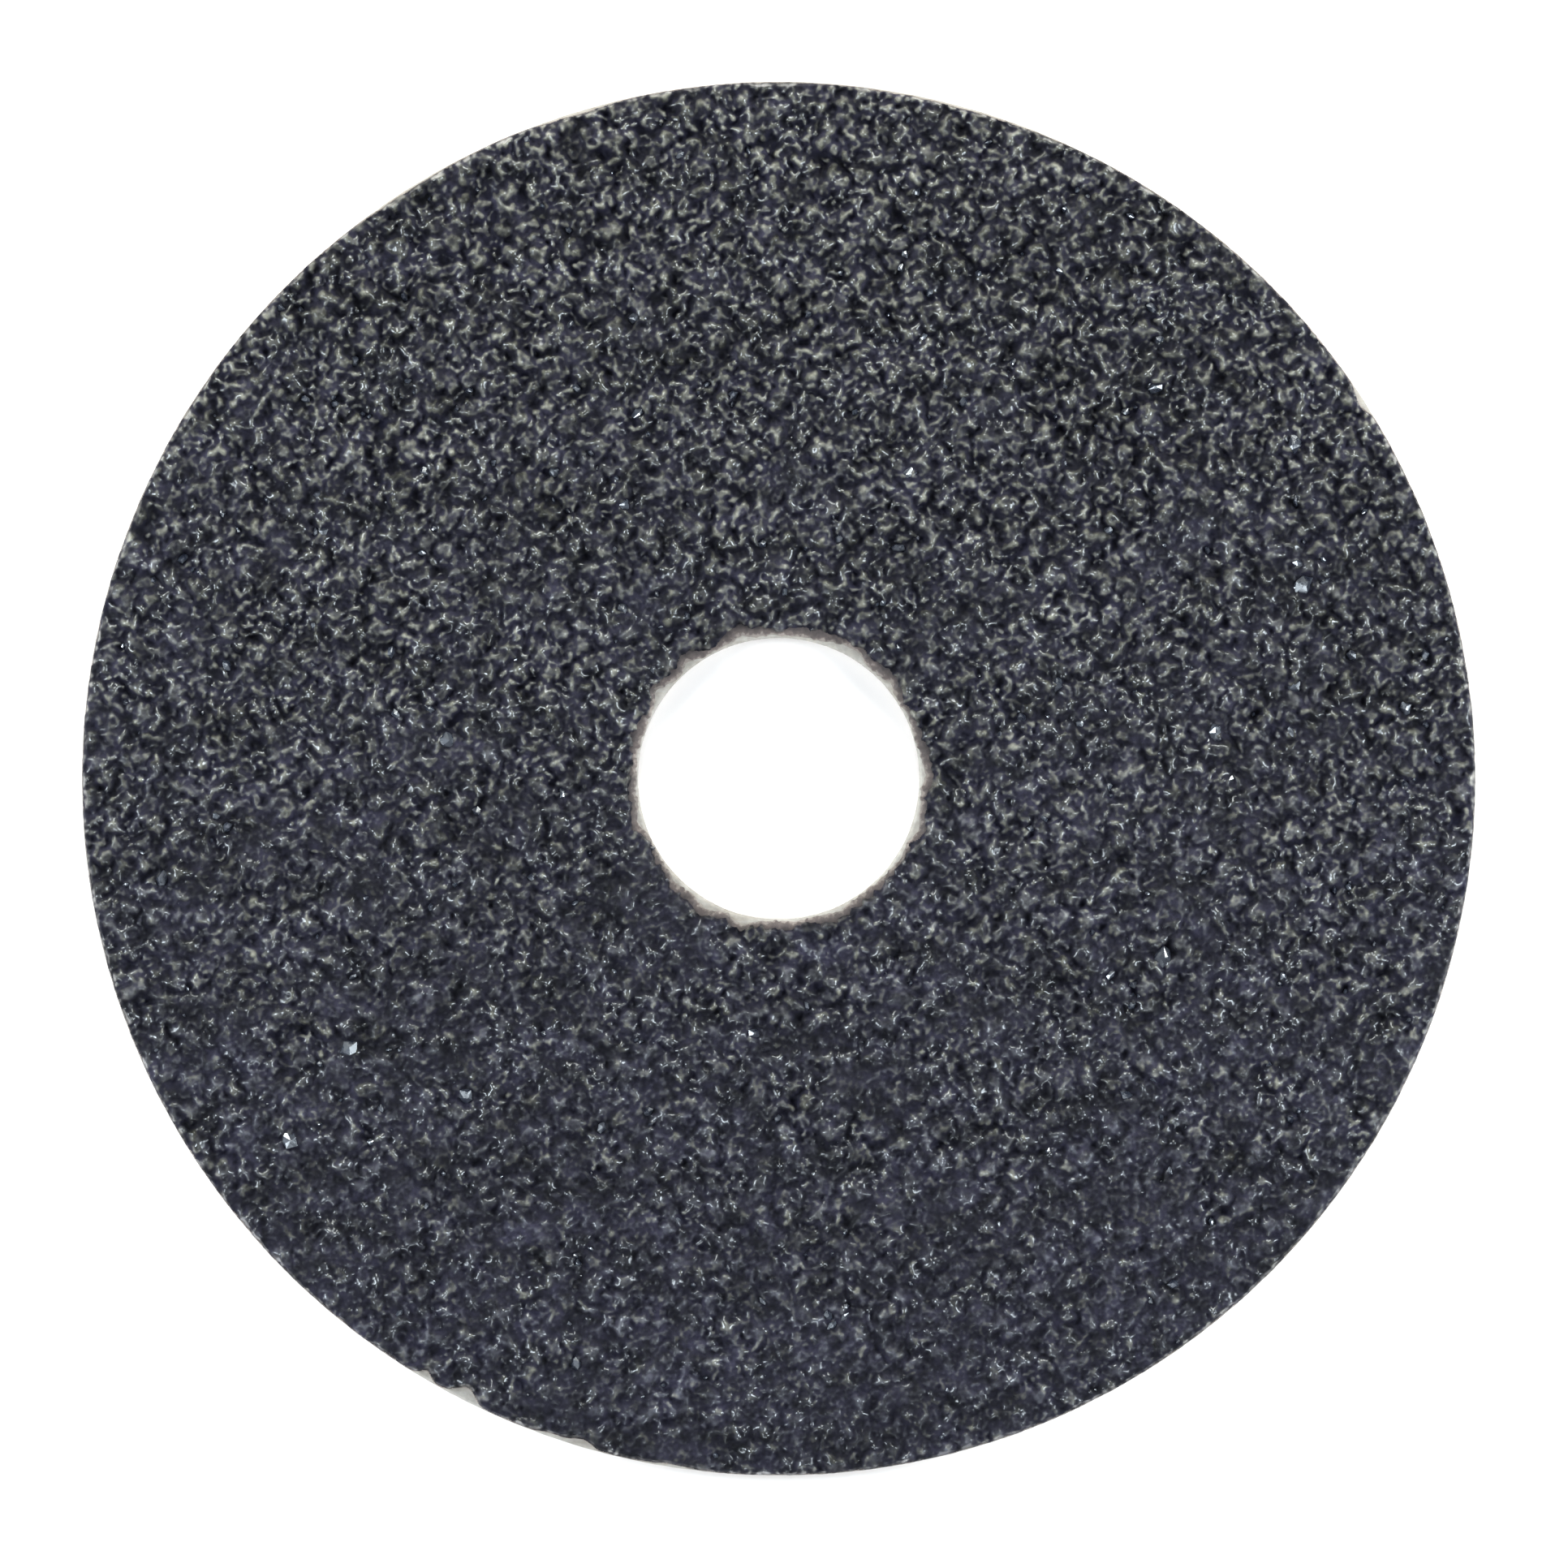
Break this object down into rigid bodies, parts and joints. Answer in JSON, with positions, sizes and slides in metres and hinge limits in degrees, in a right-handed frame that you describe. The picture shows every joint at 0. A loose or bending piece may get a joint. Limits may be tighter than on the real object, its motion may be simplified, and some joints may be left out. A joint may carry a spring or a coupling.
{
  "type": "coated abrasive carving disc",
  "caption": "Flat round abrasive disc with a plain centre bore: a stiff fibre backing faced with dark mineral grit set in resin, for shaping wood on a small angle grinder.",
  "frame": {"origin": "on the axis of the bore, at the disc's back face", "axes": "+Z along the bore's axis, out of the grain side; X and Y lie in the back face, and the disc has no preferred direction there"},
  "size_m": [0.05, 0.05, 0.0015],
  "materials": {
    "vulcanised_fibre": "satin, calendered on the back",
    "make_resin": "cured phenolic resin, semi-gloss",
    "silicon_carbide": "broken crystal faces, glossy",
    "size_resin": "cured phenolic resin darkened by filler, semi-gloss"
  },
  "bodies": {
    "root": {"fibre_backing": "vulcanised_fibre", "make_coat": "make_resin", "coarse_grains": "silicon_carbide", "medium_grains": "silicon_carbide", "fine_grains": "silicon_carbide", "size_coat": "size_resin"}
  },
  "joints": []
}
